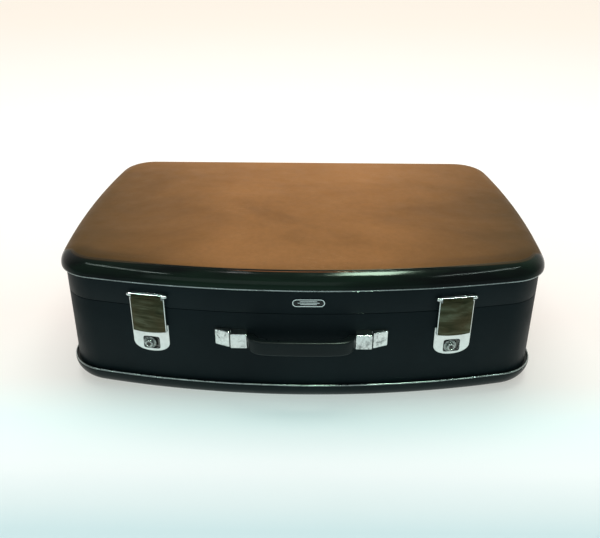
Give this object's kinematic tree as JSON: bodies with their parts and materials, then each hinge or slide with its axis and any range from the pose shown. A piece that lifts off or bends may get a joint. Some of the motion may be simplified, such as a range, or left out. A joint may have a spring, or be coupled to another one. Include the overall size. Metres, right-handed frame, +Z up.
{
  "type": "hard-sided suitcase",
  "caption": "Hard-sided travelling case with a bowed front, hinged lid, key locks under chrome hasps and a pivoting carrying handle.",
  "frame": {"origin": "floor under the middle of the base panel, where the case rests", "axes": "+X along the length to the right seen from the front, +Y from the bowed front to the hinged back, +Z up"},
  "size_m": [0.6004, 0.4495, 0.178],
  "materials": {
    "lid_cloth": "satin",
    "wall_cloth": "satin",
    "piping": "polished",
    "chrome": "polished",
    "nickel_steel": "satin",
    "dark_steel": "satin",
    "lining": "moire",
    "pocket_cloth": "gathered",
    "webbing": "woven",
    "grip_plastic": "semi gloss"
  },
  "bodies": {
    "case": {"base_panel": "wall_cloth", "base_wall": "wall_cloth", "base_piping": "piping", "base_lining": "lining", "closing_strip": "nickel_steel", "lock_plate_left": "chrome", "lock_plate_right": "chrome", "lock_case_left": "dark_steel", "lock_case_right": "dark_steel", "lock_spring_left": "dark_steel", "lock_spring_right": "dark_steel", "lock_rivets": "nickel_steel", "handle_housing_left": "chrome", "handle_housing_right": "chrome", "handle_plate_left": "chrome", "handle_plate_right": "chrome", "handle_rivets": "nickel_steel", "hinge_leaf_base_left": "nickel_steel", "hinge_leaf_base_right": "nickel_steel", "hinge_rivets_base": "nickel_steel", "packing_strap_left": "webbing", "packing_strap_right": "webbing", "strap_buckles": "chrome", "strap_anchors": "chrome", "stay_tape_left": "webbing", "stay_tape_right": "webbing", "stay_studs_base": "chrome"},
    "lid": {"lid_panel": "lid_cloth", "lid_wall": "wall_cloth", "lid_piping": "piping", "lid_lining": "lining", "lid_pocket": "pocket_cloth", "hinge_leaf_lid_left": "nickel_steel", "hinge_leaf_lid_right": "nickel_steel", "hinge_pin_left": "nickel_steel", "hinge_pin_right": "nickel_steel", "hinge_rivets_lid": "nickel_steel", "hasp_mount_left": "chrome", "hasp_mount_right": "chrome", "hasp_pin_left": "chrome", "hasp_pin_right": "chrome", "hasp_rivets": "nickel_steel", "badge_plate": "chrome", "stay_studs_lid": "chrome"},
    "left_hasp": {"hasp_left": "chrome", "hasp_catch_left": "dark_steel"},
    "right_hasp": {"hasp_right": "chrome", "hasp_catch_right": "dark_steel"},
    "left_knob": {"lock_knob_left": "chrome", "lock_bolt_left": "dark_steel"},
    "right_knob": {"lock_knob_right": "chrome", "lock_bolt_right": "dark_steel"},
    "left_key": {"key_barrel_left": "dark_steel"},
    "right_key": {"key_barrel_right": "dark_steel"},
    "handle": {"handle_grip": "grip_plastic", "handle_pin_left": "nickel_steel", "handle_pin_right": "nickel_steel"}
  },
  "joints": [
    {"name": "lid_hinge", "type": "hinge", "parent": "case", "child": "lid", "pos_m": [0, 0.2125, 0.12], "axis": [-1, 0, 0], "range_deg": [0, 100]},
    {"name": "hasp_left_hinge", "type": "hinge", "parent": "lid", "child": "left_hasp", "pos_m": [-0.17778, -0.19682, 0.1365], "axis": [-0.9863, 0.1652, 0], "range_deg": [0, 150]},
    {"name": "hasp_right_hinge", "type": "hinge", "parent": "lid", "child": "right_hasp", "pos_m": [0.17778, -0.19682, 0.1365], "axis": [-0.9863, -0.1652, 0], "range_deg": [0, 150]},
    {"name": "knob_left_slide", "type": "slide", "parent": "case", "child": "left_knob", "axis": [0.9863, -0.1652, 0], "range_m": [0, 0.004], "stiffness_N_per_m": 400, "springref_m": -0.002, "deforming": ["lock_spring_left"]},
    {"name": "knob_right_slide", "type": "slide", "parent": "case", "child": "right_knob", "axis": [0.9863, 0.1652, 0], "range_m": [0, 0.004], "stiffness_N_per_m": 400, "springref_m": -0.002, "deforming": ["lock_spring_right"]},
    {"name": "key_left_turn", "type": "hinge", "parent": "left_knob", "child": "left_key", "pos_m": [-0.17916, -0.19294, 0.0725], "axis": [-0.1652, -0.9863, 0], "range_deg": [0, 90]},
    {"name": "key_right_turn", "type": "hinge", "parent": "right_knob", "child": "right_key", "pos_m": [0.17521, -0.1936, 0.0725], "axis": [0.1652, -0.9863, 0], "range_deg": [0, 90]},
    {"name": "handle_pivot", "type": "hinge", "parent": "case", "child": "handle", "pos_m": [0, -0.2154, 0.0892], "axis": [-1, 0, 0], "range_deg": [-56, 75]}
  ]
}
